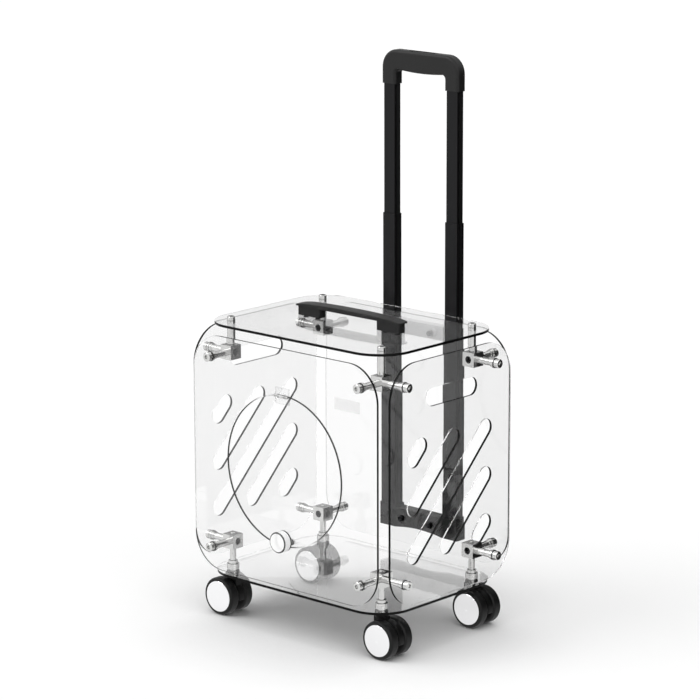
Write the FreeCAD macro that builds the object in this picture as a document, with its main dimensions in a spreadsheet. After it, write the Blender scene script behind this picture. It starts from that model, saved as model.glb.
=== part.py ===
import FreeCAD, Part
import os
import re
import Sketcher

Vector = FreeCAD.Vector
Rotation = FreeCAD.Rotation

# Driving sizes in millimetres, and angles in degrees.
SIZES = (
    # Cabin, measured over the outer faces of its flat panels.
    ("cabin_width", 400),
    ("cabin_depth", 300),
    ("cabin_height", 395),
    ("panel_thick", 4),
    ("edge_gap", 14),
    ("edge_rise", 14.5),
    ("corner_round", 55),
    # Corner blocks, posts and their screws.
    ("corner_inset", 48),
    ("corner_rise", 48.5),
    ("block_side", 22),
    ("post_radius", 5.4),
    ("column_radius", 6.2),
    ("prop_radius", 4.8),
    ("socket_wall", 0.6),
    ("collar_radius", 6.5),
    ("collar_run", 7),
    ("flange_radius", 7.8),
    ("flange_thick", 2.5),
    ("ring_radius", 7.2),
    ("ring_run", 5),
    ("nut_radius", 9.6),
    ("nut_run", 8),
    ("shank_radius", 3),
    ("shank_bite", 10),
    ("bore_spare", 2),
    ("hole_play", 0.2),
    ("cap_radius", 7),
    ("cap_height", 7),
    ("cap_bevel", 1),
    ("roof_cap_radius", 6.2),
    ("roof_cap_height", 5.7),
    ("hex_radius", 3.4),
    ("hex_depth", 4),
    ("plug_radius", 5.6),
    ("plug_run", 2),
    ("plug_hex_radius", 2.4),
    ("plug_hex_depth", 1.2),
    # Air slots in the side panels.
    ("slot_radius", 13.8),
    ("slot_pitch", 52),
    ("slot_end_run", 11),
    ("slot_lean", 45),
    ("slot_drop", 27),
    ("slot_shift", 3),
    ("pill_half", 43.5),
    ("pill_rise", 124.5),
    ("pill_radius", 14),
    # Round door, its hinge and its latch.
    ("door_radius", 115),
    ("door_gap", 1.2),
    ("door_drop", 3),
    ("hinge_width", 27),
    ("hinge_gap", 0.3),
    ("knuckle_radius", 3),
    ("knuckle_run", 7.5),
    ("leaf_height", 12.5),
    ("leaf_thick", 2),
    ("leaf_clear", 0.4),
    ("pin_radius", 1.5),
    ("running_fit", 0.08),
    ("knob_radius", 16.2),
    ("knob_depth", 14.6),
    ("knob_bevel", 1.2),
    ("latch_gap", 0.4),
    ("latch_rise", 8),
    ("spindle_radius", 4),
    ("spindle_nub", 1),
    ("cam_half", 5),
    ("cam_reach", 13),
    ("cam_thick", 3),
    # Blank plate on the front panel.
    ("plate_width", 49.5),
    ("plate_height", 17.5),
    ("plate_thick", 1.2),
    ("plate_inset", 71.5),
    ("plate_drop", 78),
    # Carry handle on the top panel.
    ("carry_length", 212),
    ("carry_width", 22),
    ("carry_tip", 1.8),
    ("carry_taper", 34),
    ("carry_shoulder", 5.6),
    ("carry_curl", 0.8),
    ("carry_arch", 1.4),
    ("carry_round", 5),
    ("carry_edge", 1.2),
    ("foot_inset", 3),
    ("foot_length", 46),
    ("foot_width", 15),
    ("foot_height", 14.6),
    ("foot_round", 3),
    ("foot_screw_step", 12),
    # Small screws through the panels.
    ("screw_radius", 2),
    ("screw_bite", 6),
    ("screw_head_radius", 4),
    ("screw_head", 3),
    # Trolley tubes and their brackets.
    ("tube_pitch", 126),
    ("tube_gap", 6),
    ("outer_width", 28),
    ("outer_depth", 18),
    ("outer_wall", 0.9),
    ("outer_drop", 28.5),
    ("tube_round", 1.5),
    ("slide_gap", 0.3),
    ("middle_wall", 0.9),
    ("middle_length", 300),
    ("middle_show", 166.5),
    ("inner_wall", 1.2),
    ("inner_length", 290),
    ("inner_show", 202),
    ("base_rise", 34.5),
    ("base_height", 36),
    ("base_depth", 20),
    ("base_margin", 1.5),
    ("base_step", 4),
    ("base_arch", 4.5),
    ("base_floor", 4),
    ("base_edge", 1.2),
    ("boss_across", 30),
    ("boss_radius", 6),
    ("bar_height", 22),
    ("bar_depth", 14),
    # Trolley grip and release button.
    ("grip_leg", 28),
    ("grip_depth", 19),
    ("grip_height", 53),
    ("grip_reach", 23),
    ("grip_bulge", 3),
    ("grip_round", 28),
    ("grip_corner", 6),
    ("grip_edge", 5),
    ("grip_socket", 20),
    ("crown_wall", 9),
    ("bridge_height", 7),
    ("bridge_width", 6),
    ("bridge_end", 4),
    ("bridge_drop", 2),
    ("button_length", 48),
    ("button_width", 11),
    ("button_sink", 1.5),
    ("button_gap", 0.4),
    ("button_travel", 4),
    ("travel_spare", 1),
    ("rod_radius", 2.5),
    ("rod_play", 0.6),
    ("rod_stop", 8),
    # Casters.
    ("caster_height", 69),
    ("wheel_radius", 29.5),
    ("wheel_width", 17.5),
    ("wheel_gap", 0.5),
    ("wheel_shoulder", 4),
    ("trail", 12),
    ("hub_radius", 8),
    ("rim_radius", 22),
    ("rim_pocket", 7),
    ("hood_thick", 12),
    ("hood_radius", 28),
    ("hood_skirt", 6),
    ("neck_radius", 10),
    ("neck_gap", 1),
    ("stem_radius", 4),
    ("stem_run", 22),
    ("stem_collar_radius", 6),
    ("stem_collar", 2.5),
    ("swivel_gap", 0.4),
    ("axle_radius", 3),
    ("axle_spare", 1),
    ("hub_cap_radius", 24.6),
    ("hub_cap_edge", 1.4),
    ("hub_cap_dome", 1.8),
    ("hub_cap_bevel", 0.8),
    ("hub_cap_recess", 2),
    # How far a cut runs past the face that it opens.
    ("overrun", 2),
)

# Places and fits worked out from the driving sizes.
DERIVED = {
    "half_width": "cabin_width / 2",
    "half_depth": "cabin_depth / 2",
    "half_height": "cabin_height / 2",
    "front_reach": "latch_gap + knob_depth",
    "rear_reach": "tube_gap + outer_depth / 2 + base_depth / 2",
    "cabin_y": "(front_reach - rear_reach) / 2",
    "mid_z": "caster_height + half_height",
    "roof_z": "caster_height + cabin_height",
    "corner_x": "half_width - corner_inset",
    "corner_y": "half_depth - corner_inset",
    "corner_z": "half_height - corner_rise",
    "block_half": "block_side / 2",
    "socket_depth": "block_half - post_radius - socket_wall",
    "socket_floor": "block_half - socket_depth",
    "recess_run": "block_half - column_radius - socket_wall",
    "plug_set": "recess_run - plug_run",
    "wall_reach": "corner_inset - panel_thick",
    "rise_reach": "corner_rise - panel_thick",
    "hole_radius": "shank_radius + hole_play",
    "screw_hole": "screw_radius + hole_play",
    "bore_run": "shank_bite + bore_spare",
    "hinge_y": "cabin_y - half_depth - knuckle_radius - hinge_gap",
    "hinge_z": "mid_z - door_drop + door_radius + door_gap / 2",
    "leaf_low": "knuckle_radius + leaf_clear",
    "leaf_back": "knuckle_radius + hinge_gap",
    "latch_z": "latch_rise - door_drop - door_radius",
    "spindle_run": "latch_gap + panel_thick + latch_gap + cam_thick + spindle_nub",
    "cam_low": "panel_thick + latch_gap",
    "trolley_y": "cabin_y + half_depth + tube_gap + outer_depth / 2",
    "half_pitch": "tube_pitch / 2",
    "base_z": "caster_height + base_rise",
    "base_half": "half_pitch + outer_width / 2 + base_margin",
    "base_leg": "outer_width + 2 * base_margin",
    "base_boss_z": "base_rise + base_height / 2 - half_height",
    "outer_low": "base_z + base_floor",
    "outer_top": "roof_z - outer_drop",
    "outer_length": "outer_top - outer_low",
    "bar_boss_z": "outer_top - bar_height / 2 - mid_z",
    "middle_width": "outer_width - 2 * (outer_wall + slide_gap)",
    "middle_depth": "outer_depth - 2 * (outer_wall + slide_gap)",
    "middle_low": "outer_top + middle_show - middle_length",
    "inner_width": "middle_width - 2 * (middle_wall + slide_gap)",
    "inner_depth": "middle_depth - 2 * (middle_wall + slide_gap)",
    "grip_z": "outer_top + middle_show + inner_show",
    "grip_half": "half_pitch + grip_leg / 2",
    "grip_inner": "half_pitch - grip_leg / 2",
    "cavity_top": "grip_height - crown_wall",
    "bridge_top": "cavity_top - bridge_drop",
    "bridge_low": "bridge_top - bridge_height",
    "cavity_low": "bridge_low - button_travel - travel_spare",
    "seat_low": "bridge_top - button_travel - button_gap",
    "bridge_half": "half_pitch + bridge_end",
    "carry_half": "carry_length / 2",
    "carry_bend": "carry_half - carry_taper",
    "foot_middle": "carry_half - foot_inset - foot_length / 2",
    "neck_top": "caster_height - stem_collar - swivel_gap",
    "neck_low": "2 * wheel_radius + neck_gap",
    "wheel_inner": "hood_thick / 2 + wheel_gap",
    "axle_half": "wheel_inner + wheel_width - hub_cap_recess - axle_spare",
}

ALIASES = {alias for alias, size in SIZES}
WORD = re.compile(r"[a-z_]+")

# Each origin plane, with the sign of its normal along the axis that it crosses.
PLANES = {"xy": ("XY_Plane", 1), "xz": ("XZ_Plane", -1), "yz": ("YZ_Plane", 1)}
NORMALS = {"xy": Vector(0, 0, 1), "xz": Vector(0, 1, 0), "yz": Vector(1, 0, 0)}

# Turns that take a shape's own Z axis along another axis.
ALONG = {
    "x": Rotation(Vector(0, 1, 0), 90),
    "y": Rotation(Vector(1, 0, 0), -90),
    "-y": Rotation(Vector(1, 0, 0), 90),
    "z": Rotation(),
}

HEXAGON_SHARES = ((1, 0), (0.5, 0.866), (-0.5, 0.866), (-1, 0), (-0.5, -0.866), (0.5, -0.866))
TOUCH = 1e-4

doc = FreeCAD.newDocument("pet_carrier")
sheet = doc.addObject("Spreadsheet::Sheet", "Sizes")
parts = []


def fill_sheet():
    """Write the driving sizes into the sheet, one row each."""
    for row, (alias, size) in enumerate(SIZES, start=1):
        sheet.set(f"A{row}", alias)
        sheet.set(f"B{row}", str(size))
        sheet.setAlias(f"B{row}", alias)
    doc.recompute()


def ex(text):
    """Spell a formula of sizes out in the sheet's cells."""
    def spell(match):
        word = match.group()
        if word in DERIVED:
            return "(" + ex(DERIVED[word]) + ")"
        if word in ALIASES:
            return "Sizes." + word
        return word
    return WORD.sub(spell, text)


def number(text):
    """Value of a formula of sizes."""
    return float(sheet.evalExpression(ex(text)))


def flip(sign, text):
    """The formula, negated where the sign is negative."""
    return text if sign > 0 else f"-({text})"


def place(item, x="0", y="0", z="0", turn=None):
    """Put an object at a place that follows the sheet."""
    if turn is not None:
        item.Placement = FreeCAD.Placement(Vector(), turn)
    for axis, text in zip("xyz", (x, y, z)):
        if text != "0":
            item.setExpression(f"Placement.Base.{axis}", ex(text))


def keep(item, label):
    """Count an object as a finished piece under its node's name."""
    item.Label = label
    parts.append(item)
    return item


def new_body(label, x="0", y="0", z="0", turn=None):
    """Start a piece with its own origin at the given place."""
    body = doc.addObject("PartDesign::Body", label)
    place(body, x, y, z, turn)
    return keep(body, label)


def cabin_body(label):
    """Start a piece whose origin is the middle of the cabin."""
    return new_body(label, "0", "cabin_y", "mid_z")


def origin_plane(body, plane):
    role = PLANES[plane][0]
    return next(feature for feature in body.Origin.OriginFeatures if feature.Role == role)


def normal_sign(sketch):
    role = sketch.AttachmentSupport[0][0].Role
    return next(sign for name, sign in PLANES.values() if name == role)


def new_sketch(body, plane, offset="0"):
    """Start a sketch on an origin plane, moved along the axis that it crosses."""
    sketch = body.newObject("Sketcher::SketchObject", body.Name + "_sketch")
    sketch.AttachmentSupport = [(origin_plane(body, plane), "")]
    sketch.MapMode = "FlatFace"
    if offset != "0":
        sketch.setExpression("AttachmentOffset.Base.z", ex(flip(PLANES[plane][1], offset)))
    return sketch


def bind(sketch, constraint, text):
    index = sketch.addConstraint(constraint)
    sketch.setExpression(f"Constraints[{index}]", ex(text))


def pin(sketch, curve, spot, x, y):
    """Tie one point of a curve to its two coordinates."""
    bind(sketch, Sketcher.Constraint("DistanceX", -1, 1, curve, spot, number(x)), x)
    bind(sketch, Sketcher.Constraint("DistanceY", -1, 1, curve, spot, number(y)), y)


def add_edge(sketch, start, end, bow):
    """Add a line, or an arc that bows to the left of its run, and say which end comes first."""
    if bow is None:
        sketch.addGeometry(Part.LineSegment(start, end))
        return 1, 2
    run = end - start
    side = Vector(-run.y, run.x, 0).normalize()
    middle = (start + end) * 0.5 + side * number(bow)
    curve = sketch.addGeometry(Part.Arc(start, middle, end))
    ahead = sketch.getPoint(curve, 1).distanceToPoint(start) < TOUCH
    return (1, 2) if ahead else (2, 1)


def outline(sketch, points):
    """Draw a closed outline: each point is x and y, with the bow of an arc that leaves it."""
    first = sketch.GeometryCount
    corners = [Vector(number(point[0]), number(point[1]), 0) for point in points]
    bows = [point[2] if len(point) > 2 else None for point in points]
    following = [(index + 1) % len(points) for index in range(len(points))]
    ends = [add_edge(sketch, corners[index], corners[following[index]], bows[index]) for index in range(len(points))]
    for index, after in enumerate(following):
        joint = (first + index, ends[index][1], first + after, ends[after][0])
        sketch.addConstraint(Sketcher.Constraint("Coincident", *joint))
    for index, point in enumerate(points):
        pin(sketch, first + index, ends[index][0], point[0], point[1])
        if bows[index]:
            across = f"({points[following[index]][0]}) - ({point[0]})"
            along = f"({points[following[index]][1]}) - ({point[1]})"
            quarter = f"(({across})^2 + ({along})^2) / 4"
            radius = f"({quarter} + ({bows[index]})^2) / (2 * abs({bows[index]}))"
            bind(sketch, Sketcher.Constraint("Radius", first + index, number(radius)), radius)


def rectangle(sketch, x, y, half_x, half_y):
    """Draw a rectangle about a middle point."""
    signs = ((-1, -1), (1, -1), (1, 1), (-1, 1))
    outline(sketch, [(f"({x}) + {flip(a, half_x)}", f"({y}) + {flip(b, half_y)}") for a, b in signs])


def circle(sketch, x, y, radius):
    curve = sketch.addGeometry(Part.Circle(Vector(number(x), number(y), 0), Vector(0, 0, 1), number(radius)))
    pin(sketch, curve, 3, x, y)
    bind(sketch, Sketcher.Constraint("Radius", curve, number(radius)), radius)


def hexagon(sketch, x, y, radius):
    outline(sketch, [(f"({x}) + {a} * {radius}", f"({y}) + {b} * {radius}") for a, b in HEXAGON_SHARES])


def slot(sketch, start, end, radius):
    """Draw a slot with round ends about two points."""
    low = Vector(number(start[0]), number(start[1]), 0)
    high = Vector(number(end[0]), number(end[1]), 0)
    ahead = (high - low).normalize() * number(radius)
    side = Vector(-ahead.y, ahead.x, 0)
    head = sketch.addGeometry(Part.Arc(high - side, high + ahead, high + side))
    left = sketch.addGeometry(Part.LineSegment(high + side, low + side))
    tail = sketch.addGeometry(Part.Arc(low + side, low - ahead, low - side))
    right = sketch.addGeometry(Part.LineSegment(low - side, high - side))
    loop = (head, left, tail, right)
    for curve, after in zip(loop, loop[1:] + loop[:1]):
        sketch.addConstraint(Sketcher.Constraint("Tangent", curve, 2, after, 1))
    sketch.addConstraint(Sketcher.Constraint("Equal", head, tail))
    pin(sketch, head, 3, *end)
    pin(sketch, tail, 3, *start)
    bind(sketch, Sketcher.Constraint("Radius", head, number(radius)), radius)


def steer(feature, sketch, toward, usual):
    """Point a feature along its axis, or to both sides where the direction is zero."""
    if toward == 0:
        feature.SideType = "Symmetric"
    else:
        feature.Reversed = normal_sign(sketch) * toward * usual < 0


def pad(body, sketch, length, toward):
    feature = body.newObject("PartDesign::Pad", body.Name + "_pad")
    feature.Profile = sketch
    feature.setExpression("Length", ex(length))
    steer(feature, sketch, toward, 1)
    doc.recompute()


def pocket(body, sketch, length, toward):
    doc.recompute()
    before = body.Tip.Shape.Volume
    feature = body.newObject("PartDesign::Pocket", body.Name + "_pocket")
    feature.Profile = sketch
    feature.setExpression("Length", ex(length))
    steer(feature, sketch, toward, -1)
    doc.recompute()
    if not feature.Shape.Volume < before - TOUCH:
        raise ValueError(f"{body.Label}: a pocket cuts nothing")


def turn_profile(body, sketch, axis):
    """Turn a sketch about one of its edges or axes."""
    feature = body.newObject("PartDesign::Revolution", body.Name + "_turned")
    feature.Profile = sketch
    feature.ReferenceAxis = (sketch, [axis])
    doc.recompute()


def turned(body, plane, offset, start, heading, steps):
    """Turn a stepped profile: each step is a run along the heading and a radius."""
    points = []
    for run, radius in steps:
        if heading == "u":
            points.append((f"({start[0]}) + {run}", f"({start[1]}) + {radius}"))
        else:
            points.append((f"({start[0]}) + {radius}", f"({start[1]}) + {run}"))
    sketch = new_sketch(body, plane, offset)
    outline(sketch, points)
    turn_profile(body, sketch, f"Edge{len(points)}")


def mirror(body, *planes):
    """Repeat the whole piece on the far side of each plane."""
    for plane in planes:
        feature = body.newObject("PartDesign::Mirrored", body.Name + "_mirrored")
        feature.MirrorPlane = (origin_plane(body, plane), [""])
        feature.TransformMode = "Whole shape"
        feature.Originals = []
        body.Tip = feature
        doc.recompute()


def fillet(body, radius, wanted):
    """Round the edges of the piece that the given test picks."""
    doc.recompute()
    base = body.Tip
    names = [f"Edge{index}" for index, edge in enumerate(base.Shape.Edges, start=1) if wanted(edge)]
    feature = body.newObject("PartDesign::Fillet", body.Name + "_fillet")
    feature.Base = (base, names)
    feature.setExpression("Radius", ex(radius))
    doc.recompute()


def straight_along(direction):
    """Test for straight edges along a direction."""
    def test(edge):
        if not isinstance(edge.Curve, Part.Line):
            return False
        return abs(edge.Curve.Direction.dot(direction)) > 1 - TOUCH
    return test


def box(x, y, z):
    """A block between a low and a high value on each axis."""
    item = doc.addObject("Part::Box", "block")
    for side, (low, high) in zip(("Length", "Width", "Height"), (x, y, z)):
        item.setExpression(side, ex(f"({high}) - ({low})"))
    place(item, x[0], y[0], z[0])
    return item


def rod(radius, axis, span, x="0", y="0", z="0"):
    """A cylinder along an axis, between a low and a high value there."""
    item = doc.addObject("Part::Cylinder", "rod")
    item.setExpression("Radius", ex(radius))
    item.setExpression("Height", ex(f"({span[1]}) - ({span[0]})"))
    spot = {"x": x, "y": y, "z": z}
    spot[axis] = span[0]
    place(item, spot["x"], spot["y"], spot["z"], ALONG[axis])
    return item


def fuse(*items):
    joined = doc.addObject("Part::MultiFuse", "joined")
    joined.Shapes = list(items)
    return joined


def cut(base, *tools):
    rest = doc.addObject("Part::Cut", "rest")
    rest.Base = base
    rest.Tool = tools[0] if len(tools) == 1 else fuse(*tools)
    return rest


def panel_sheet(label, plane, offset, toward, half_run, half_rise):
    """A flat sheet with round corners, its outer face at the offset."""
    body = cabin_body(label)
    sketch = new_sketch(body, plane, offset)
    rectangle(sketch, "0", "0", half_run, half_rise)
    pad(body, sketch, "panel_thick", toward)
    fillet(body, "corner_round", straight_along(NORMALS[plane]))
    return body


def panel_holes(body, plane, offset, toward, across, up, draw=None):
    """Screw holes near the four corners, and any further cut-outs that are drawn."""
    sketch = new_sketch(body, plane, offset)
    for side in (-1, 1):
        for level in (-1, 1):
            circle(sketch, flip(side, across), flip(level, up), "hole_radius")
    if draw:
        draw(sketch)
    pocket(body, sketch, "panel_thick + overrun", toward)


def door_opening(sketch):
    circle(sketch, "0", "-door_drop", "door_radius + door_gap")


def trolley_holes(sketch):
    for side in (-1, 1):
        for level in ("base_boss_z", "bar_boss_z"):
            circle(sketch, flip(side, "boss_across"), level, "screw_hole")


def foot_holes(sketch):
    for side in (-1, 1):
        for step in (-1, 1):
            circle(sketch, flip(side, f"foot_middle + {flip(step, 'foot_screw_step')}"), "0", "screw_hole")


def air_slots(sketch):
    """One level slot over five leaning ones that fill a square."""
    slot(sketch, ("-pill_half", "pill_rise"), ("pill_half", "pill_rise"), "pill_radius")
    for count in (-2, -1, 0, 1, 2):
        shift = f"{count} * slot_pitch"
        half = f"(slot_end_run + {2 - abs(count)} * slot_pitch)"
        ends = []
        for sign in (-1, 1):
            run = flip(sign, half)
            y = f"{shift} * sin(slot_lean) + ({run}) * cos(slot_lean) - slot_shift"
            z = f"-slot_drop - {shift} * cos(slot_lean) + ({run}) * sin(slot_lean)"
            ends.append((y, z))
        slot(sketch, *ends, "slot_radius")


def make_panels():
    run_x = "half_width - edge_gap"
    run_y = "half_depth - edge_gap"
    run_z = "half_height - edge_rise"
    front = panel_sheet("front_panel", "xz", "-half_depth", 1, run_x, run_z)
    panel_holes(front, "xz", "-half_depth", 1, "corner_x", "corner_z", door_opening)
    rear = panel_sheet("rear_panel", "xz", "half_depth", -1, run_x, run_z)
    panel_holes(rear, "xz", "half_depth", -1, "corner_x", "corner_z", trolley_holes)
    for side, label in ((-1, "left_panel"), (1, "right_panel")):
        face = flip(side, "half_width")
        body = panel_sheet(label, "yz", face, -side, run_y, run_z)
        panel_holes(body, "yz", face, -side, "corner_y", "corner_z", air_slots)
    top = panel_sheet("top_panel", "xy", "half_height", -1, run_x, run_y)
    panel_holes(top, "xy", "half_height", -1, "corner_x", "corner_y", foot_holes)
    bottom = panel_sheet("bottom_panel", "xy", "-half_height", 1, run_x, run_y)
    panel_holes(bottom, "xy", "-half_height", 1, "corner_x", "corner_y")


def drill(body, plane, face, toward, x, y, radius, depth):
    """A round blind hole from a face."""
    sketch = new_sketch(body, plane, face)
    circle(sketch, x, y, radius)
    pocket(body, sketch, depth, toward)


def make_corner_blocks(label, level):
    """Four cubes with a post socket in each outer face and a plug recess in each inner face."""
    body = cabin_body(label)
    up = flip(level, "corner_z")
    upright = "column_radius" if level > 0 else "prop_radius"
    sketch = new_sketch(body, "xy", up)
    rectangle(sketch, "corner_x", "corner_y", "block_half", "block_half")
    pad(body, sketch, "block_side", 0)
    faces = (
        ("yz", "corner_x", 1, "corner_y", up, "post_radius"),
        ("xz", "corner_y", 1, "corner_x", up, "post_radius"),
        ("xy", up, level, "corner_x", "corner_y", upright),
    )
    for plane, middle, outward, across, along, radius in faces:
        outer = f"{middle} + {flip(outward, 'block_half')}"
        inner = f"{middle} - {flip(outward, 'block_half')}"
        drill(body, plane, outer, -outward, across, along, radius, "socket_depth")
        drill(body, plane, inner, outward, across, along, "plug_radius", "recess_run")
    mirror(body, "yz", "xz")


def post_steps(reach, radius, rings, sign):
    """Profile of a post from its socket to the panel: shaft, rings up to the panel, and a bore for the screw."""
    end = f"({reach} - socket_floor)"
    steps = [("0", "0"), ("0", radius)]
    for run, wider in rings:
        begin = f"{end} - ({run})"
        steps += [(begin, radius), (begin, wider)]
        radius = wider
    steps += [(end, radius), (end, "shank_radius")]
    steps += [(f"{end} - bore_run", "shank_radius"), (f"{end} - bore_run", "0")]
    return [(flip(sign, along), size) for along, size in steps]


def make_posts():
    """Posts to the walls, plain columns to the top panel, and props with nuts on the bottom panel."""
    wall = cabin_body("wall_posts")
    collars = (("collar_run", "collar_radius"), ("flange_thick", "flange_radius"))
    steps = post_steps("wall_reach", "post_radius", collars, 1)
    turned(wall, "xz", "corner_y", ("corner_x + socket_floor", "corner_z"), "u", steps)
    turned(wall, "yz", "corner_x", ("corner_y + socket_floor", "corner_z"), "u", steps)
    mirror(wall, "xy", "yz", "xz")
    rise = cabin_body("rise_posts")
    column = post_steps("rise_reach", "column_radius", (), 1)
    turned(rise, "xz", "corner_y", ("corner_x", "corner_z + socket_floor"), "v", column)
    nuts = (("nut_run + ring_run", "ring_radius"), ("nut_run", "nut_radius"))
    prop = post_steps("rise_reach", "prop_radius", nuts, -1)
    turned(rise, "xz", "corner_y", ("corner_x", "-(corner_z + socket_floor)"), "v", prop)
    mirror(rise, "yz", "xz")


def cap_steps(radius, height):
    """Profile of a cap screw, from its shank through the panel to its head."""
    return (
        ("-panel_thick - shank_bite", "0"),
        ("-panel_thick - shank_bite", "shank_radius"),
        ("0", "shank_radius"),
        ("0", radius),
        (f"{height} - cap_bevel", radius),
        (height, f"{radius} - cap_bevel"),
        (height, "0"),
    )


def hex_socket(body, plane, face, toward, x, y, radius, depth):
    sketch = new_sketch(body, plane, face)
    hexagon(sketch, x, y, radius)
    pocket(body, sketch, depth, toward)


def make_cap_screws():
    """Socket screws outside the side, front, rear and top panels."""
    body = cabin_body("cap_screws")
    steps = cap_steps("cap_radius", "cap_height")
    turned(body, "xz", "corner_y", ("half_width", "corner_z"), "u", steps)
    turned(body, "yz", "corner_x", ("half_depth", "corner_z"), "u", steps)
    hex_socket(body, "yz", "half_width + cap_height", -1, "corner_y", "corner_z", "hex_radius", "hex_depth")
    hex_socket(body, "xz", "half_depth + cap_height", -1, "corner_x", "corner_z", "hex_radius", "hex_depth")
    mirror(body, "xy")
    roof_steps = cap_steps("roof_cap_radius", "roof_cap_height")
    turned(body, "xz", "corner_y", ("corner_x", "half_height"), "v", roof_steps)
    hex_socket(body, "xy", "half_height + roof_cap_height", -1, "corner_x", "corner_y", "hex_radius", "hex_depth")
    mirror(body, "yz", "xz")


def make_plug_screws():
    """Short socket screws at the floors of the recesses in the corner blocks."""
    body = cabin_body("plug_screws")
    steps = (("0", "0"), ("0", "plug_radius"), ("plug_run", "plug_radius"), ("plug_run", "0"))
    inner = {axis: f"corner_{axis} - block_half + plug_set" for axis in "xyz"}
    turned(body, "xz", "corner_y", (inner["x"], "corner_z"), "u", steps)
    turned(body, "yz", "corner_x", (inner["y"], "corner_z"), "u", steps)
    turned(body, "xz", "corner_y", ("corner_x", inner["z"]), "v", steps)
    hex_socket(body, "yz", inner["x"], 1, "corner_y", "corner_z", "plug_hex_radius", "plug_hex_depth")
    hex_socket(body, "xz", inner["y"], 1, "corner_x", "corner_z", "plug_hex_radius", "plug_hex_depth")
    hex_socket(body, "xy", inner["z"], 1, "corner_x", "corner_y", "plug_hex_radius", "plug_hex_depth")
    mirror(body, "xy", "yz", "xz")


def make_panel_screws():
    """Button screws from inside the cabin into the handle's feet and the trolley's brackets."""
    body = cabin_body("panel_screws")
    steps = (
        ("0", "0"),
        ("0", "screw_head_radius"),
        ("screw_head", "screw_head_radius"),
        ("screw_head", "screw_radius"),
        ("screw_head + panel_thick + screw_bite", "screw_radius"),
        ("screw_head + panel_thick + screw_bite", "0"),
    )
    under_roof = "half_height - panel_thick - screw_head"
    inside_rear = "half_depth - panel_thick - screw_head"
    for step in (-1, 1):
        across = f"foot_middle + {flip(step, 'foot_screw_step')}"
        turned(body, "xz", "0", (across, under_roof), "v", steps)
    for level in ("base_boss_z", "bar_boss_z"):
        turned(body, "yz", "boss_across", (inside_rear, level), "u", steps)
    mirror(body, "yz")


def make_door():
    door = cabin_body("door_panel")
    sketch = new_sketch(door, "xz", "-half_depth")
    circle(sketch, "0", "-door_drop", "door_radius")
    pad(door, sketch, "panel_thick", 1)
    bore = new_sketch(door, "xz", "-half_depth")
    circle(bore, "0", "latch_z", "spindle_radius + running_fit")
    pocket(door, bore, "panel_thick + overrun", 1)


def hinge_leaf(label, level, knuckles, bore):
    """A leaf flat on its panel, above or below the pin, with knuckles round the pin."""
    spans = {1: ("leaf_low", "leaf_height"), -1: ("-leaf_height", "-leaf_low")}
    necks = {1: ("0", "leaf_low"), -1: ("-leaf_low", "0")}
    back = ("leaf_back - leaf_thick", "leaf_back")
    solids = [box(("-hinge_width / 2", "hinge_width / 2"), back, spans[level])]
    for span in knuckles:
        solids.append(box(span, back, necks[level]))
        solids.append(rod("knuckle_radius", "x", span))
    reach = ("-hinge_width / 2 - overrun", "hinge_width / 2 + overrun")
    leaf = keep(cut(fuse(*solids), rod(bore, "x", reach)), label)
    place(leaf, "0", "hinge_y", "hinge_z")


def make_hinge():
    half = "hinge_width / 2"
    inner = "hinge_width / 2 - knuckle_run"
    hinge_leaf("hinge_frame_leaf", 1, ((f"-{half}", f"-({inner})"), (inner, half)), "pin_radius")
    middle = f"{inner} - hinge_gap"
    hinge_leaf("hinge_door_leaf", -1, ((f"-({middle})", middle),), "pin_radius + running_fit")
    shaft = keep(rod("pin_radius", "x", (f"-{half}", half)), "hinge_pin")
    place(shaft, f"-{half}", "hinge_y", "hinge_z")


def make_latch():
    knob = new_body("latch_knob", "0", "cabin_y - half_depth", "mid_z + latch_z")
    front = "-latch_gap - knob_depth"
    steps = (
        ("0", "0"),
        ("0", "knob_radius - knob_bevel"),
        ("knob_bevel", "knob_radius"),
        ("knob_depth", "knob_radius"),
        ("knob_depth", "spindle_radius"),
        ("knob_depth + spindle_run", "spindle_radius"),
        ("knob_depth + spindle_run", "0"),
    )
    turned(knob, "yz", "0", (front, "0"), "u", steps)
    depth = ("cam_low", "cam_low + cam_thick")
    tongue = fuse(
        box(("0", "cam_reach"), depth, ("-cam_half", "cam_half")),
        rod("cam_half", "y", depth),
        rod("cam_half", "y", depth, x="cam_reach"),
    )
    through = ("cam_low - overrun", "cam_low + cam_thick + overrun")
    cam = keep(cut(tongue, rod("spindle_radius", "y", through)), "latch_cam")
    place(cam, "0", "cabin_y - half_depth", "mid_z + latch_z")


def make_plate():
    plate = cabin_body("blank_plate")
    sketch = new_sketch(plate, "xz", "-half_depth")
    middle = ("half_width - plate_inset", "half_height - plate_drop")
    rectangle(sketch, *middle, "plate_width / 2", "plate_height / 2")
    pad(plate, sketch, "plate_thick", -1)


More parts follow.
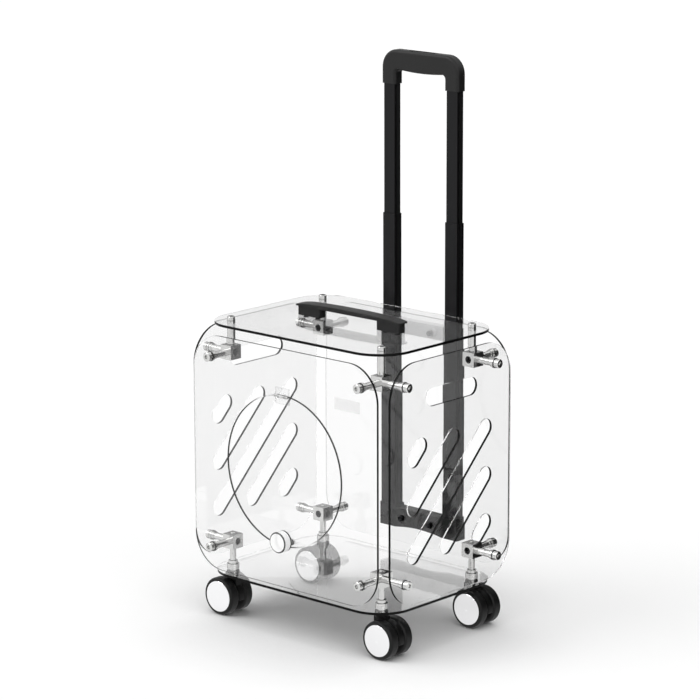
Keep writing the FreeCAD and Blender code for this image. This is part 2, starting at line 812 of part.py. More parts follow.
def make_carry_handle():
    bar = new_body("carry_bar", "0", "cabin_y", "roof_z + foot_height")
    sketch = new_sketch(bar, "xz")
    outline(sketch, (
        ("-carry_half", "0"),
        ("carry_half", "0"),
        ("carry_half", "carry_tip", "-carry_curl"),
        ("carry_bend", "carry_shoulder", "-carry_arch"),
        ("-carry_bend", "carry_shoulder", "-carry_curl"),
        ("-carry_half", "carry_tip"),
    ))
    pad(bar, sketch, "carry_width", 0)
    fillet(bar, "carry_round", straight_along(NORMALS["xy"]))
    top = number("carry_tip") - TOUCH
    fillet(bar, "carry_edge", lambda edge: all(vertex.Z > top for vertex in edge.Vertexes))
    for sign, label in ((-1, "carry_foot_left"), (1, "carry_foot_right")):
        foot = new_body(label, flip(sign, "foot_middle"), "cabin_y", "roof_z")
        sketch = new_sketch(foot, "xy")
        rectangle(sketch, "0", "0", "foot_length / 2", "foot_width / 2")
        pad(foot, sketch, "foot_height", 1)
        fillet(foot, "foot_round", straight_along(NORMALS["xy"]))
        bores = new_sketch(foot, "xy")
        for step in (-1, 1):
            circle(bores, flip(step, "foot_screw_step"), "0", "screw_radius")
        pocket(foot, bores, "screw_bite", 1)


def tube(label, side, low, length, width, depth, wall):
    """A tube of rectangular section, standing behind the rear panel."""
    body = new_body(label, flip(side, "half_pitch"), "trolley_y", low)
    sketch = new_sketch(body, "xy")
    rectangle(sketch, "0", "0", f"{width} / 2", f"{depth} / 2")
    pad(body, sketch, length, 1)
    fillet(body, "tube_round", straight_along(NORMALS["xy"]))
    hollow = new_sketch(body, "xy")
    rectangle(hollow, "0", "0", f"{width} / 2 - {wall}", f"{depth} / 2 - {wall}")
    pocket(body, hollow, f"{length} + overrun", 1)


def make_tubes():
    for side, word in ((-1, "left"), (1, "right")):
        tube(f"outer_tube_{word}", side, "outer_low", "outer_length", "outer_width", "outer_depth", "outer_wall")
        tube(f"middle_tube_{word}", side, "middle_low", "middle_length", "middle_width", "middle_depth", "middle_wall")
        tube(f"inner_tube_{word}", side, "grip_z - inner_length", "inner_length + grip_socket",
             "inner_width", "inner_depth", "inner_wall")


def bracket_bosses(body, level, depth):
    """Two round bosses from a bracket to the rear panel, with a bore each for a screw."""
    face = "-tube_gap - outer_depth / 2"
    bosses = new_sketch(body, "xz", face)
    bores = new_sketch(body, "xz", face)
    for side in (-1, 1):
        circle(bosses, flip(side, "boss_across"), level, "boss_radius")
        circle(bores, flip(side, "boss_across"), level, "screw_radius")
    pad(body, bosses, f"tube_gap + outer_depth / 2 - {depth} / 2", 1)
    pocket(body, bores, "screw_bite", 1)


def make_trolley_brackets():
    base = new_body("trolley_base", "0", "trolley_y", "base_z")
    inner = "(base_half - base_leg)"
    sketch = new_sketch(base, "xz")
    outline(sketch, (
        ("-base_half", "0"),
        (f"-{inner}", "0", "base_arch"),
        (inner, "0"),
        ("base_half", "0"),
        ("base_half", "base_height"),
        (inner, "base_height"),
        (inner, "base_height - base_step"),
        (f"-{inner}", "base_height - base_step"),
        (f"-{inner}", "base_height"),
        ("-base_half", "base_height"),
    ))
    pad(base, sketch, "base_depth", 0)
    side = number("base_half")
    fillet(base, "base_edge", lambda edge: straight_along(NORMALS["xy"])(edge)
           and abs(abs(edge.BoundBox.Center.x) - side) < TOUCH)
    bracket_bosses(base, "base_height / 2", "base_depth")
    sockets = new_sketch(base, "xy", "base_height")
    for sign in (-1, 1):
        rectangle(sockets, flip(sign, "half_pitch"), "0", "outer_width / 2", "outer_depth / 2")
    pocket(base, sockets, "base_height - base_floor", -1)
    bar = new_body("trolley_crossbar", "0", "trolley_y", "outer_top - bar_height / 2")
    sketch = new_sketch(bar, "xz")
    rectangle(sketch, "0", "0", "half_pitch - outer_width / 2", "bar_height / 2")
    pad(bar, sketch, "bar_depth", 0)
    bracket_bosses(bar, "0", "bar_depth")


def make_grip():
    grip = new_body("trolley_grip", "0", "trolley_y", "grip_z")
    sketch = new_sketch(grip, "xz")
    outline(sketch, (
        ("-grip_half", "0"),
        ("-grip_inner", "0"),
        ("-grip_inner", "grip_reach", "-grip_bulge"),
        ("grip_inner", "grip_reach"),
        ("grip_inner", "0"),
        ("grip_half", "0"),
        ("grip_half", "grip_height"),
        ("-grip_half", "grip_height"),
    ))
    pad(grip, sketch, "grip_depth", 0)
    across = straight_along(NORMALS["xz"])
    top = number("grip_height")
    reach = number("grip_reach")
    side = number("grip_depth / 2")
    fillet(grip, "grip_round", lambda edge: across(edge) and abs(edge.BoundBox.Center.z - top) < TOUCH)
    fillet(grip, "grip_corner", lambda edge: across(edge) and abs(edge.BoundBox.Center.z - reach) < TOUCH)
    fillet(grip, "grip_edge", lambda edge: edge.BoundBox.YLength < TOUCH and edge.BoundBox.ZMax > TOUCH
           and abs(abs(edge.BoundBox.Center.y) - side) < TOUCH)
    sockets = new_sketch(grip, "xy")
    holes = new_sketch(grip, "xy", "grip_socket")
    for sign in (-1, 1):
        rectangle(sockets, flip(sign, "half_pitch"), "0", "inner_width / 2", "inner_depth / 2")
        circle(holes, flip(sign, "half_pitch"), "0", "rod_radius + rod_play")
    pocket(grip, sockets, "grip_socket", 1)
    cavity = new_sketch(grip, "xz")
    rise = ("(cavity_low + cavity_top) / 2", "(cavity_top - cavity_low) / 2")
    rectangle(cavity, "0", rise[0], "bridge_half + button_gap", rise[1])
    pocket(grip, cavity, "bridge_width + 2 * button_gap", 0)
    pocket(grip, holes, "cavity_low - grip_socket + overrun", 1)
    seat = new_sketch(grip, "xy", "grip_height")
    rectangle(seat, "0", "0", "button_length / 2 + button_gap", "button_width / 2 + button_gap")
    pocket(grip, seat, "grip_height - seat_low", -1)


def make_button():
    cap = box(
        ("-button_length / 2", "button_length / 2"),
        ("-button_width / 2", "button_width / 2"),
        ("bridge_top", "grip_height - button_sink"),
    )
    bridge = box(
        ("-bridge_half", "bridge_half"),
        ("-bridge_width / 2", "bridge_width / 2"),
        ("bridge_low", "bridge_top"),
    )
    button = keep(fuse(cap, bridge), "release_button")
    place(button, "0", "trolley_y", "grip_z")
    rods = new_body("push_rods", "0", "trolley_y", "grip_z")
    sketch = new_sketch(rods, "xy", "bridge_low")
    circle(sketch, "half_pitch", "0", "rod_radius")
    pad(rods, sketch, "bridge_low + inner_length - rod_stop", -1)
    mirror(rods, "yz")


def make_caster_stems():
    """Fixed stems: thread up through the bottom panel, collar under it, swivel pin below."""
    body = cabin_body("caster_stems")
    steps = (
        ("-stem_collar - stem_run", "0"),
        ("-stem_collar - stem_run", "stem_radius"),
        ("-stem_collar", "stem_radius"),
        ("-stem_collar", "stem_collar_radius"),
        ("0", "stem_collar_radius"),
        ("0", "shank_radius"),
        ("panel_thick + shank_bite", "shank_radius"),
        ("panel_thick + shank_bite", "0"),
    )
    turned(body, "xz", "corner_y", ("corner_x", "-half_height"), "v", steps)
    mirror(body, "yz", "xz")


def make_hood(label, x, y, turn):
    """Hood between the wheels, trailing behind the neck that swivels on the stem."""
    thick = ("-hood_thick / 2", "hood_thick / 2")
    solid = fuse(
        rod("hood_radius", "y", thick, x="trail", z="wheel_radius"),
        box(("-neck_radius", "trail"), thick, ("wheel_radius", "neck_low + overrun")),
        rod("neck_radius", "z", ("neck_low", "neck_top")),
    )
    under = "wheel_radius - hood_radius - overrun"
    ends = ("trail - hood_radius - overrun", "trail + hood_radius + overrun")
    bore_low = "caster_height - stem_collar - stem_run - swivel_gap"
    through = ("-hood_thick / 2 - overrun", "hood_thick / 2 + overrun")
    hood = cut(
        solid,
        box(ends, through, (under, "wheel_radius - hood_skirt")),
        rod("stem_radius + running_fit", "z", (bore_low, "neck_top + overrun")),
        rod("axle_radius", "y", through, x="trail", z="wheel_radius"),
    )
    place(keep(hood, label), x, y, "0", turn)


def make_wheel(label, x, y, turn):
    body = new_body(label, x, y, "wheel_radius", turn)
    seat = "wheel_width - hub_cap_recess"
    sketch = new_sketch(body, "xz")
    outline(sketch, (
        ("axle_radius + running_fit", "0"),
        ("hub_radius", "0"),
        ("hub_radius", "rim_pocket"),
        ("rim_radius", "rim_pocket"),
        ("rim_radius", "0"),
        ("wheel_radius", "0"),
        ("wheel_radius", "wheel_width"),
        ("hub_cap_radius", "wheel_width"),
        ("hub_cap_radius", seat),
        ("axle_radius + running_fit", seat),
    ))
    turn_profile(body, sketch, "V_Axis")
    rim = number("wheel_radius")
    fillet(body, "wheel_shoulder", lambda edge: isinstance(edge.Curve, Part.Circle)
           and abs(edge.Curve.Radius - rim) < TOUCH)


def make_hub_cap(label, x, y, turn):
    body = new_body(label, x, y, "wheel_radius", turn)
    steps = (
        ("0", "0"),
        ("0", "hub_cap_radius"),
        ("hub_cap_edge", "hub_cap_radius"),
        ("hub_cap_edge + hub_cap_bevel", "hub_cap_radius - hub_cap_bevel"),
        ("hub_cap_edge + hub_cap_dome", "0"),
    )
    turned(body, "xz", "0", ("0", "wheel_width - hub_cap_recess"), "v", steps)


def make_casters():
    corners = (
        ("front_left", -1, -1),
        ("front_right", 1, -1),
        ("rear_left", -1, 1),
        ("rear_right", 1, 1),
    )
    sides = (("front", -1, "-y"), ("back", 1, "y"))
    for name, side_x, side_y in corners:
        stem_x = flip(side_x, "corner_x")
        middle = f"cabin_y + {flip(side_y, 'corner_y')}"
        axle_x = flip(side_x, "corner_x + trail")
        about = Rotation(Vector(0, 0, 1), 0 if side_x > 0 else 180)
        make_hood(f"caster_hood_{name}", stem_x, middle, about)
        axle = keep(rod("axle_radius", "y", ("-axle_half", "axle_half")), f"caster_axle_{name}")
        place(axle, axle_x, f"{middle} - axle_half", "wheel_radius")
        for word, sign, heading in sides:
            inner = f"{middle} + {flip(sign, 'wheel_inner')}"
            make_wheel(f"wheel_{name}_{word}", axle_x, inner, ALONG[heading])
            make_hub_cap(f"hub_cap_{name}_{word}", axle_x, inner, ALONG[heading])


def check_document():
    """Stop on any failed object, or on a piece without a sound shape."""
    doc.recompute()
    for item in doc.Objects:
        if "Invalid" in item.State or "Error" in item.State:
            raise ValueError(f"{item.Label}: {item.State}")
    for item in parts:
        if item.Shape.isNull() or not item.Shape.isValid():
            raise ValueError(f"{item.Label}: no sound shape")


def write_parts():
    os.makedirs("parts", exist_ok=True)
    for item in parts:
        item.Shape.exportStep(f"parts/{item.Label}.step")


fill_sheet()
make_panels()
make_corner_blocks("upper_corner_blocks", 1)
make_corner_blocks("lower_corner_blocks", -1)
make_posts()
make_cap_screws()
make_plug_screws()
make_panel_screws()
make_door()
make_hinge()
make_latch()
make_plate()
make_carry_handle()
make_tubes()
make_trolley_brackets()
make_grip()
make_button()
make_caster_stems()
make_casters()
check_document()
write_parts()
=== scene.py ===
import math

import bpy
from mathutils import Matrix, Vector

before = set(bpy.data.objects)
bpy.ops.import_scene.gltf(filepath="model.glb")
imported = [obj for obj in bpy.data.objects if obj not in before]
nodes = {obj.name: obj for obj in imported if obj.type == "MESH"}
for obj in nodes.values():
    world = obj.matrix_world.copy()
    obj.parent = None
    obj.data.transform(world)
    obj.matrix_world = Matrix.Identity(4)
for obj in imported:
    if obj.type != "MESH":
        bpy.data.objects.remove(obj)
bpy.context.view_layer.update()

MM = 0.001
scene = bpy.context.scene

# The camera, found by fitting the cabin's edges and the tubes: degrees, metres and pixels of the frame.
VIEW_AZIMUTH = 42.2828
VIEW_ELEVATION = 13.1525
VIEW_ROLL = -0.1805
VIEW_PLACE = (3.182599, -3.507071, 1.528441)
VIEW_FOCAL_PIXELS = 3224.447
FRAME_PIXELS = 700
SENSOR_MM = 36

# Studio levels: how strongly the floor shows as white, how far the painted shadow (ambient occlusion dimming
# the floor's glow) spreads in metres, and how much light the surroundings give.
FLOOR_GLOW = 0.48
PAINTED_SHADOW_SPREAD = 0.27
WORLD_LIGHT = 0.62

# Where the materials paint shade: the door's round edge, the low corners of the front sheet and the rear edge
# of the right sheet, where a sheet's painted edge shade stays when seen through it, the knob's brim and foot,
# and the grooves along the tubes.
RING_REACH = 5 * MM
FRONT_SHEET_DEPTH = 5 * MM
LOW_CORNER_Z = 140 * MM
REAR_EDGE_Y = 100 * MM
REAR_EDGE_SHADE_SHARE = 0.6
BRIM_REACH = 2.2 * MM
FOOT_REACH = 1.5 * MM
GROOVE_OFF = 4.2 * MM
GROOVE_REACH = 0.5 * MM

CASTERS = ("front_left", "front_right", "rear_left", "rear_right")
ENDS = ("front", "back")
SIDES = ("left", "right")


def span(name):
    """Low and high corners of a node at rest, in metres."""
    places = [vertex.co for vertex in nodes[name].data.vertices]
    return [[pick(place[axis] for place in places) for axis in range(3)] for pick in (min, max)]


def disc(name):
    """Height and radius of a round piece that faces the front."""
    low, high = span(name)
    return (low[2] + high[2]) / 2, (high[2] - low[2]) / 2


DOOR_Z, DOOR_RADIUS = disc("door_panel")
KNOB_Z, KNOB_RADIUS = disc("latch_knob")
FRONT_FACE_Y = span("front_panel")[0][1]
TROLLEY_Y = sum(corner_shade[1] for corner_shade in span("outer_tube_left")) / 2


def linear(colour):
    """sRGB hex to linear RGBA."""
    channels = [int(colour[place:place + 2], 16) / 255 for place in (1, 3, 5)]
    return [c / 12.92 if c <= 0.04045 else ((c + 0.055) / 1.055) ** 2.4 for c in channels] + [1]


def per_mm(size):
    """Texture scale for a pattern whose feature is this many millimetres wide."""
    return 1 / (size * MM)


def feed(tree, target, sockets):
    """Give a node its numbers, colours and links by input name or index."""
    for name, value in dict(sockets).items():
        if isinstance(value, bpy.types.NodeSocket):
            tree.links.new(value, target.inputs[name])
        else:
            target.inputs[name].default_value = value


def add(tree, kind, sockets=(), **settings):
    """Add a node with its own settings, and feed its inputs."""
    made = tree.nodes.new(kind)
    for name, value in settings.items():
        setattr(made, name, value)
    feed(tree, made, sockets)
    return made


def reckon(tree, operation, *values, **settings):
    """One sum or test on sockets and numbers."""
    return add(tree, "ShaderNodeMath", dict(enumerate(values)), operation=operation, **settings).outputs[0]


def remap(tree, value, low, high, start=0.0, end=1.0):
    """A value carried from one range to another, and held at its ends."""
    return add(tree, "ShaderNodeMapRange", {0: value, 1: start, 2: end, 3: low, 4: high}).outputs[0]


def blend(tree, factor, first, second):
    """A colour between two, each given as a socket or as sRGB hex."""
    first, second = (linear(colour) if isinstance(colour, str) else colour for colour in (first, second))
    return add(tree, "ShaderNodeMix", {"Factor": factor, 6: first, 7: second}, data_type="RGBA").outputs[2]


def noise(tree, place, size, detail=2.0):
    """Clouds whose features are this many millimetres wide."""
    sockets = {"Vector": place["Object"], "Scale": per_mm(size), "Detail": detail}
    return add(tree, "ShaderNodeTexNoise", sockets).outputs[0]


def surface(name):
    """A material with its Principled shader and its coordinates, in metres."""
    made = bpy.data.materials.new(name)
    made.use_nodes = True
    tree = made.node_tree
    return made, tree, tree.nodes["Principled BSDF"], add(tree, "ShaderNodeTexCoord").outputs


def along(tree, vector, axis):
    """One coordinate of a vector."""
    return add(tree, "ShaderNodeSeparateXYZ", {0: vector}).outputs["XYZ".index(axis)]


def facing(tree, place, axis):
    """How squarely a surface faces along an axis, either way: 1 for a flat face across it."""
    return reckon(tree, "ABSOLUTE", along(tree, place["Normal"], axis))


def side_of(tree, place, axis, limit, test):
    """1 on one side of a plane across an axis, and 0 on the other."""
    return reckon(tree, test, along(tree, place["Object"], axis), limit)


def from_centre(tree, place, height):
    """Distance from the line x = 0 at this height, measured in the plane of the front panel."""
    flat = add(tree, "ShaderNodeMapping", {0: place["Object"], 1: (0, 0, -height), 3: (1, 0, 1)}).outputs[0]
    return add(tree, "ShaderNodeVectorMath", {0: flat}, operation="LENGTH").outputs["Value"]


def rim_shade_kept_within(tree, place, axis):
    """Share of the painted edge shade that a sheet's far edge keeps when it is seen through the sheet."""
    if axis == "X":
        right = side_of(tree, place, "X", 0, "GREATER_THAN")
        rear = side_of(tree, place, "Y", REAR_EDGE_Y, "GREATER_THAN")
        return reckon(tree, "MULTIPLY", reckon(tree, "MULTIPLY", right, rear), REAR_EDGE_SHADE_SHARE)
    front = side_of(tree, place, "Y", FRONT_FACE_Y + FRONT_SHEET_DEPTH, "LESS_THAN")
    low = side_of(tree, place, "Z", LOW_CORNER_Z, "LESS_THAN")
    corner_shade = reckon(tree, "MULTIPLY", front, low)
    if axis == "Z":
        return corner_shade
    ring = reckon(tree, "COMPARE", from_centre(tree, place, DOOR_Z), DOOR_RADIUS, RING_REACH)
    return reckon(tree, "MAXIMUM", corner_shade, ring)


def cast_acrylic(axis):
    """Cast acrylic sheet: clear and glossy faces, with painted shade that turns the edges near black, faint on
    most far edges seen through the sheet.
    """
    made, tree, shader, place = surface(f"cast_acrylic_sheet_{axis.lower()}")
    # Painted shade: edges that face across the sheet are near black, and seen from within most of them fade.
    edge = remap(tree, facing(tree, place, axis), 0.0, 1.0, 0.85, 0.35)
    within = add(tree, "ShaderNodeNewGeometry").outputs["Backfacing"]
    kept_rim_shade = rim_shade_kept_within(tree, place, axis)
    lost = reckon(tree, "SUBTRACT", within, kept_rim_shade, use_clamp=True)
    faint = reckon(tree, "MULTIPLY", edge, lost)
    painted_rim_shade = reckon(tree, "SUBTRACT", edge, faint)
    smear = remap(tree, noise(tree, place, 60, 3.0), 0.0, 0.002, 0.4, 0.7)
    rough = add(tree, "ShaderNodeMix", {"Factor": painted_rim_shade, 2: smear, 3: 0.4}).outputs[0]
    feed(tree, shader, {"Base Color": blend(tree, painted_rim_shade, "#FCFCFC", "#0A0A0A"), "Roughness": rough,
                        "Transmission Weight": remap(tree, painted_rim_shade, 1.0, 0.03),
                        "Specular IOR Level": remap(tree, painted_rim_shade, 0.5, 0.1), "IOR": 1.49,
                        "Alpha": remap(tree, faint, 1.0, 0.3)})
    return made


def frosted_acrylic():
    """Moulded acrylic hinge: milky and thin to the eye, with painted shade that makes its narrow sides greyer
    and less clear.
    """
    made, tree, shader, place = surface("frosted_acrylic")
    side = remap(tree, facing(tree, place, "Y"), 0.0, 1.0, 0.9, 0.3)
    haze = remap(tree, noise(tree, place, 6), 0.1, 0.2, 0.3, 0.7)
    feed(tree, shader, {"Base Color": blend(tree, side, "#E4E6E7", "#A4A6A8"), "Roughness": haze,
                        "Alpha": remap(tree, side, 0.08, 0.3), "IOR": 1.49})
    return made


def turned_acrylic():
    """Turned acrylic knob: milky disc and barrel with a painted glow, and painted shade that makes it dark
    around the disc and where the barrel meets the door.
    """
    made, tree, shader, place = surface("turned_acrylic")
    brim = reckon(tree, "COMPARE", from_centre(tree, place, KNOB_Z), KNOB_RADIUS, BRIM_REACH)
    face = reckon(tree, "GREATER_THAN", facing(tree, place, "Y"), 0.5)
    depth = along(tree, place["Object"], "Y")
    foot = reckon(tree, "COMPARE", depth, FRONT_FACE_Y - FOOT_REACH, FOOT_REACH)
    ring = reckon(tree, "MULTIPLY", brim, face)
    painted_seat_shade = reckon(tree, "MULTIPLY", foot, brim)
    dark = reckon(tree, "MAXIMUM", ring, painted_seat_shade)
    shine = remap(tree, noise(tree, place, 5), 0.04, 0.12, 0.3, 0.7)
    # Painted light: the milky parts glow faintly white; painted shade turns the brim and the seat near black.
    feed(tree, shader, {"Base Color": blend(tree, dark, "#FFFFFF", "#161617"), "Roughness": shine, "IOR": 1.49,
                        "Alpha": remap(tree, dark, 0.82, 0.92), "Emission Color": linear("#FFFFFF"),
                        "Emission Strength": remap(tree, dark, 0.2, 0.0)})
    return made


def metal(name, pale, dull, smooth, rough, grain, turned=None):
    """Plated or blackened metal: a mirror, with faint clouds in its polish, and painted shade that darkens it
    where it turns away from the eye.
    """
    made, tree, shader, place = surface(name)
    cloud = noise(tree, place, grain, 4.0)
    away = add(tree, "ShaderNodeLayerWeight", {"Blend": 0.5}).outputs["Facing"]
    turned_away_shade = remap(tree, away, 0.0, 1.0, 0.45, 0.85)
    colour = blend(tree, turned_away_shade, blend(tree, cloud, pale, dull), turned or dull)
    feed(tree, shader, {"Base Color": colour, "Roughness": remap(tree, cloud, smooth, rough, 0.3, 0.7),
                        "Metallic": 1.0})
    return made


def black_anodised():
    """Drawn aluminium tube, anodised black: satin, faint draw lines, a painted highlight that makes the faces
    across X paler, and painted shade on the corners and in the grooves along those faces.
    """
    made, tree, shader, place = surface("black_anodised_aluminium")
    # Draw lines are finer than a pixel, so they are drawn 1.5 mm wide.
    line = per_mm(1.5)
    run = add(tree, "ShaderNodeMapping", {0: place["Object"], 3: (line, line, per_mm(400))}).outputs[0]
    draw = add(tree, "ShaderNodeTexNoise", {"Vector": run, "Scale": 1.0, "Detail": 3.0}).outputs[0]
    # Painted light: faces across X get a paler colour as a painted highlight, and corners and grooves get
    # painted shade.
    across = facing(tree, place, "X")
    corner_shade = remap(tree, reckon(tree, "MULTIPLY", across, facing(tree, place, "Y")), 0.0, 1.0, 0.1, 0.3)
    off = reckon(tree, "SUBTRACT", along(tree, place["Object"], "Y"), TROLLEY_Y)
    painted_groove_shade = reckon(tree, "COMPARE", reckon(tree, "ABSOLUTE", off), GROOVE_OFF, GROOVE_REACH)
    side = reckon(tree, "GREATER_THAN", across, 0.8)
    dark = reckon(tree, "MAXIMUM", corner_shade, reckon(tree, "MULTIPLY", painted_groove_shade, side))
    satin_and_painted_side_highlight = blend(tree, side, blend(tree, draw, "#272728", "#2D2D2E"), "#525253")
    bump = add(tree, "ShaderNodeBump", {"Height": draw, "Strength": 0.06, "Distance": 0.05 * MM}).outputs[0]
    feed(tree, shader, {"Base Color": blend(tree, dark, satin_and_painted_side_highlight, "#101010"), "Normal": bump, "Metallic": 1.0,
                        "Roughness": remap(tree, draw, 0.36, 0.46, 0.3, 0.7)})
    return made


def moulded(name, dark, light, smooth, rough, grit, depth, sheen=0.5, veil=1.0):
    """Moulded plastic with a spark-eroded grain: even and dull, with softly broken highlights."""
    made, tree, shader, place = surface(name)
    grain = noise(tree, place, grit)
    bump = add(tree, "ShaderNodeBump", {"Height": grain, "Strength": 0.25, "Distance": depth * MM}).outputs[0]
    feed(tree, shader, {"Base Color": blend(tree, noise(tree, place, 30, 3.0), dark, light), "Normal": bump,
                        "Roughness": remap(tree, grain, smooth, rough, 0.3, 0.7), "IOR": 1.5,
                        "Specular IOR Level": sheen, "Alpha": veil})
    return made


acrylic = {axis: cast_acrylic(axis) for axis in "XYZ"}
hinge_acrylic = frosted_acrylic()
knob_acrylic = turned_acrylic()
# Bright plated fittings, with painted shade for dark outlines.
nickel = metal("nickel_plated_brass", "#DCDCDB", "#C8C8C7", 0.05, 0.12, 20, "#3C3C3C")
# White mirrors in the wheels.
chrome = metal("chrome_plated_disc", "#FCFCFD", "#F6F6F7", 0.04, 0.09, 40)
# Small dark screw heads.
black_oxide = metal("black_oxide_steel", "#2A2A2B", "#343436", 0.2, 0.32, 6)
# Dull grey rods and axles.
zinc = metal("zinc_plated_steel", "#AEB0B2", "#8F9194", 0.25, 0.4, 8)
anodised = black_anodised()
# Soft black of the handles.
handle_pp = moulded("moulded_polypropylene", "#101010", "#141414", 0.42, 0.58, 1.2, 0.04, 0.35)
# A button a little paler than its grip.
button_abs = moulded("moulded_abs", "#18181A", "#1D1D1E", 0.35, 0.5, 1.2, 0.03)
# Near black of the hoods and the base bracket.
caster_nylon = moulded("moulded_nylon", "#070707", "#0A0A0A", 0.4, 0.55, 1.0, 0.03, 0.2)
# The deepest black, with a dull sheen.
tread = moulded("polyurethane_tread", "#060606", "#090909", 0.45, 0.62, 1.4, 0.05, 0.3)
# Pale grey bar behind the rear panel.
pale_pc = moulded("moulded_polycarbonate", "#F4F4F5", "#FAFAFB", 0.2, 0.3, 2.0, 0.02)
# A thin plate, barely seen.
film = moulded("satin_polyester_film", "#E9E9E9", "#F0F0F0", 0.3, 0.42, 1.0, 0.02, 0.5, 0.12)

LOOKS = {
    acrylic["Y"]: ("front_panel", "rear_panel", "door_panel"),
    acrylic["X"]: ("left_panel", "right_panel"),
    acrylic["Z"]: ("top_panel", "bottom_panel"),
    hinge_acrylic: ("hinge_frame_leaf", "hinge_door_leaf"),
    knob_acrylic: ("latch_knob", "latch_cam"),
    nickel: ("upper_corner_blocks", "lower_corner_blocks", "wall_posts", "rise_posts", "cap_screws",
             "caster_stems", "hinge_pin"),
    black_oxide: ("plug_screws", "panel_screws"),
    zinc: ("push_rods", *(f"caster_axle_{name}" for name in CASTERS)),
    chrome: tuple(f"hub_cap_{name}_{end}" for name in CASTERS for end in ENDS),
    anodised: tuple(f"{stage}_tube_{side}" for stage in ("outer", "middle", "inner") for side in SIDES),
    handle_pp: ("carry_bar", "carry_foot_left", "carry_foot_right", "trolley_grip"),
    button_abs: ("release_button",),
    caster_nylon: ("trolley_base", *(f"caster_hood_{name}" for name in CASTERS)),
    tread: tuple(f"wheel_{name}_{end}" for name in CASTERS for end in ENDS),
    pale_pc: ("trolley_crossbar",),
    film: ("blank_plate",),
}

# Widths of the small rounds on edges that are drawn sharp, in millimetres.
EASED = {
    0.5: ("upper_corner_blocks", "lower_corner_blocks", "carry_bar", "carry_foot_left", "carry_foot_right"),
    0.8: ("trolley_base", "trolley_crossbar", "release_button", *(f"caster_hood_{name}" for name in CASTERS)),
    0.3: ("hinge_frame_leaf", "hinge_door_leaf", "blank_plate"),
}


def dress(look, names):
    """Give nodes their material."""
    for name in names:
        data = nodes[name].data
        data.materials.clear()
        data.materials.append(look)


def ease_edges(names, width):
    """Break the sharp edges of nodes by a small round."""
    for name in names:
        weld = nodes[name].modifiers.new("weld", "WELD")
        weld.merge_threshold = 0.002 * MM
        bevel = nodes[name].modifiers.new("ease", "BEVEL")
        bevel.width = width * MM
        bevel.segments = 2
        bevel.limit_method = "ANGLE"
        bevel.angle_limit = math.radians(40)


for look, names in LOOKS.items():
    dress(look, names)
for width, names in EASED.items():
    ease_edges(names, width)


def board(name, width, height, place, aim, look):
    """A flat studio board that faces a point."""
    half_x, half_y = width / 2, height / 2
    mesh = bpy.data.meshes.new(name)
    corners = [(-half_x, -half_y, 0), (half_x, -half_y, 0), (half_x, half_y, 0), (-half_x, half_y, 0)]
    mesh.from_pydata(corners, [], [(0, 1, 2, 3)])
    mesh.materials.append(look)
    made = bpy.data.objects.new(name, mesh)
    scene.collection.objects.link(made)
    made.location = place
    made.rotation_euler = (Vector(aim) - Vector(place)).to_track_quat("Z", "Y").to_euler()
    return made


def flag(name, width, height, place, aim, look):
    """A board beside the object that shows only in its shiny surfaces."""
    made = board(name, width, height, place, aim, look)
    made.visible_camera = False
    made.visible_diffuse = False
    made.visible_shadow = False


def seen(tree, path, *kinds):
    """1 for rays of these kinds, and 0 for the others."""
    found = path[kinds[0]]
    for kind in kinds[1:]:
        found = reckon(tree, "MAXIMUM", found, path[kind])
    return found


def mirrored(tree, path):
    """1 for rays that have met a mirror, and 0 for the others."""
    return reckon(tree, "GREATER_THAN", path["Glossy Depth"], 0.5)


def studio_floor():
    """Pale floor that shows white and keeps the lamps' shadow, with a painted shadow where ambient occlusion
    dims its glow; in a mirror it shows white with a fainter painted shadow.
    """
    made = bpy.data.materials.new("studio_floor")
    made.use_nodes = True
    tree = made.node_tree
    tree.nodes.remove(tree.nodes["Principled BSDF"])
    path = add(tree, "ShaderNodeLightPath").outputs
    painted_shadow_ao = add(tree, "ShaderNodeAmbientOcclusion", {"Distance": PAINTED_SHADOW_SPREAD}, samples=16).outputs["AO"]
    plain = add(tree, "ShaderNodeBsdfDiffuse", {"Color": linear("#C8C8C8")}).outputs[0]
    # Painted shadow: ambient occlusion dims the glow under and around the object.
    level = remap(tree, painted_shadow_ao, 0.0, FLOOR_GLOW, 0.21, 0.94)
    glow = add(tree, "ShaderNodeEmission", {"Color": linear("#FFFFFF"), "Strength": level}).outputs[0]
    both = add(tree, "ShaderNodeAddShader", {0: plain, 1: glow}).outputs[0]
    straight = seen(tree, path, "Is Camera Ray", "Is Transmission Ray")
    direct = add(tree, "ShaderNodeMixShader", {0: straight, 1: plain, 2: both}).outputs[0]
    mirror_painted_shadow = remap(tree, painted_shadow_ao, 0.75, 1.0)
    pale = add(tree, "ShaderNodeEmission", {"Color": linear("#FFFFFF"), "Strength": mirror_painted_shadow}).outputs[0]
    mirror = reckon(tree, "SUBTRACT", mirrored(tree, path), path["Is Diffuse Ray"], use_clamp=True)
    shown = add(tree, "ShaderNodeMixShader", {0: mirror, 1: direct, 2: pale}).outputs[0]
    tree.links.new(shown, tree.nodes["Material Output"].inputs["Surface"])
    return made


def flag_cloth(name, dark, light):
    """Cloth of the flags: no shine of its own, seen only in mirrors, never straight through a clear sheet."""
    made, tree, shader, place = surface(name)
    colour = blend(tree, noise(tree, place, 50), dark, light)
    feed(tree, shader, {"Base Color": colour, "Roughness": 1.0, "Specular IOR Level": 0.0})
    path = add(tree, "ShaderNodeLightPath").outputs
    gone = add(tree, "ShaderNodeBsdfTransparent").outputs[0]
    sockets = {0: mirrored(tree, path), 1: gone, 2: shader.outputs[0]}
    shown = add(tree, "ShaderNodeMixShader", sockets).outputs[0]
    tree.links.new(shown, tree.nodes["Material Output"].inputs["Surface"])
    return made


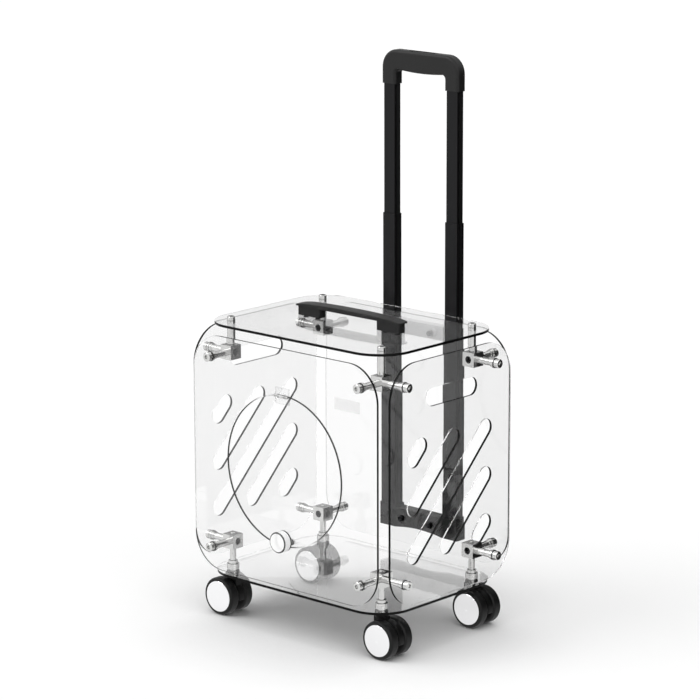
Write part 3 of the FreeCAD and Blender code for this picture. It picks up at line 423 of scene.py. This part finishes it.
def studio_world():
    """Even light all round, which shows as white where it is seen."""
    made = bpy.data.worlds.new("studio")
    scene.world = made
    made.use_nodes = True
    tree = made.node_tree
    white = linear("#FFFFFF")
    light = add(tree, "ShaderNodeBackground", {"Color": white, "Strength": WORLD_LIGHT}).outputs[0]
    shine = add(tree, "ShaderNodeBackground", {"Color": white, "Strength": 1.0}).outputs[0]
    path = add(tree, "ShaderNodeLightPath").outputs
    straight = seen(tree, path, "Is Camera Ray", "Is Glossy Ray", "Is Transmission Ray")
    shown = add(tree, "ShaderNodeMixShader", {0: straight, 1: light, 2: shine}).outputs[0]
    tree.links.new(shown, tree.nodes["World Output"].inputs["Surface"])


def lamp(name, place, spread, strength):
    """Soft even light from the side of this place, its spread in degrees."""
    data = bpy.data.lights.new(name, "SUN")
    data.angle = math.radians(spread)
    data.energy = strength
    made = bpy.data.objects.new(name, data)
    scene.collection.objects.link(made)
    made.location = place
    made.rotation_euler = (-Vector(place)).to_track_quat("-Z", "Y").to_euler()


def camera():
    """The fitted camera: right, up and back axes, with the roll about the view."""
    azimuth, elevation, roll = (math.radians(angle) for angle in (VIEW_AZIMUTH, VIEW_ELEVATION, VIEW_ROLL))
    level = math.cos(elevation)
    back = Vector((math.sin(azimuth) * level, -math.cos(azimuth) * level, math.sin(elevation)))
    across = Vector((math.cos(azimuth), math.sin(azimuth), 0))
    rise = back.cross(across)
    right = across * math.cos(roll) + rise * math.sin(roll)
    up = rise * math.cos(roll) - across * math.sin(roll)
    data = bpy.data.cameras.new("camera")
    data.sensor_width = SENSOR_MM
    data.lens = VIEW_FOCAL_PIXELS * SENSOR_MM / FRAME_PIXELS
    made = bpy.data.objects.new("camera", data)
    scene.collection.objects.link(made)
    turn = Matrix((right, up, back)).transposed().to_4x4()
    made.matrix_world = Matrix.Translation(VIEW_PLACE) @ turn
    scene.camera = made


dark_cloth = flag_cloth("dark_flag_cloth", "#262626", "#2E2E2E")
pale_cloth = flag_cloth("pale_flag_cloth", "#F0F0F0", "#F6F6F6")
board("floor", 14, 14, (0, 0, 0), (0, 0, 1), studio_floor())
flag("flag_right", 1.6, 1.1, (0.70, 0.75, 0.55), (0, 0, 0.55), dark_cloth)
flag("flag_low", 0.7, 0.3, (0.46, 0.28, 0.155), (0.2, 0, 0.155), dark_cloth)
flag("flag_floor", 1.1, 1.2, (0.85, 0.82, 0.003), (0.85, 0.82, 1), dark_cloth)
flag("flag_rear", 1.0, 0.3, (0.10, 0.68, 0.155), (-1, 0.68, 0.155), dark_cloth)
flag("flag_behind", 1.8, 0.8, (-0.98, 1.08, 0.95), (0, 0, 0.46), pale_cloth)
studio_world()
lamp("key", (-1.8, -2.4, 2.8), 40, 1.1)
lamp("fill", (2.6, -1.0, 2.2), 50, 0.5)
camera()

scene.view_settings.view_transform = "Standard"
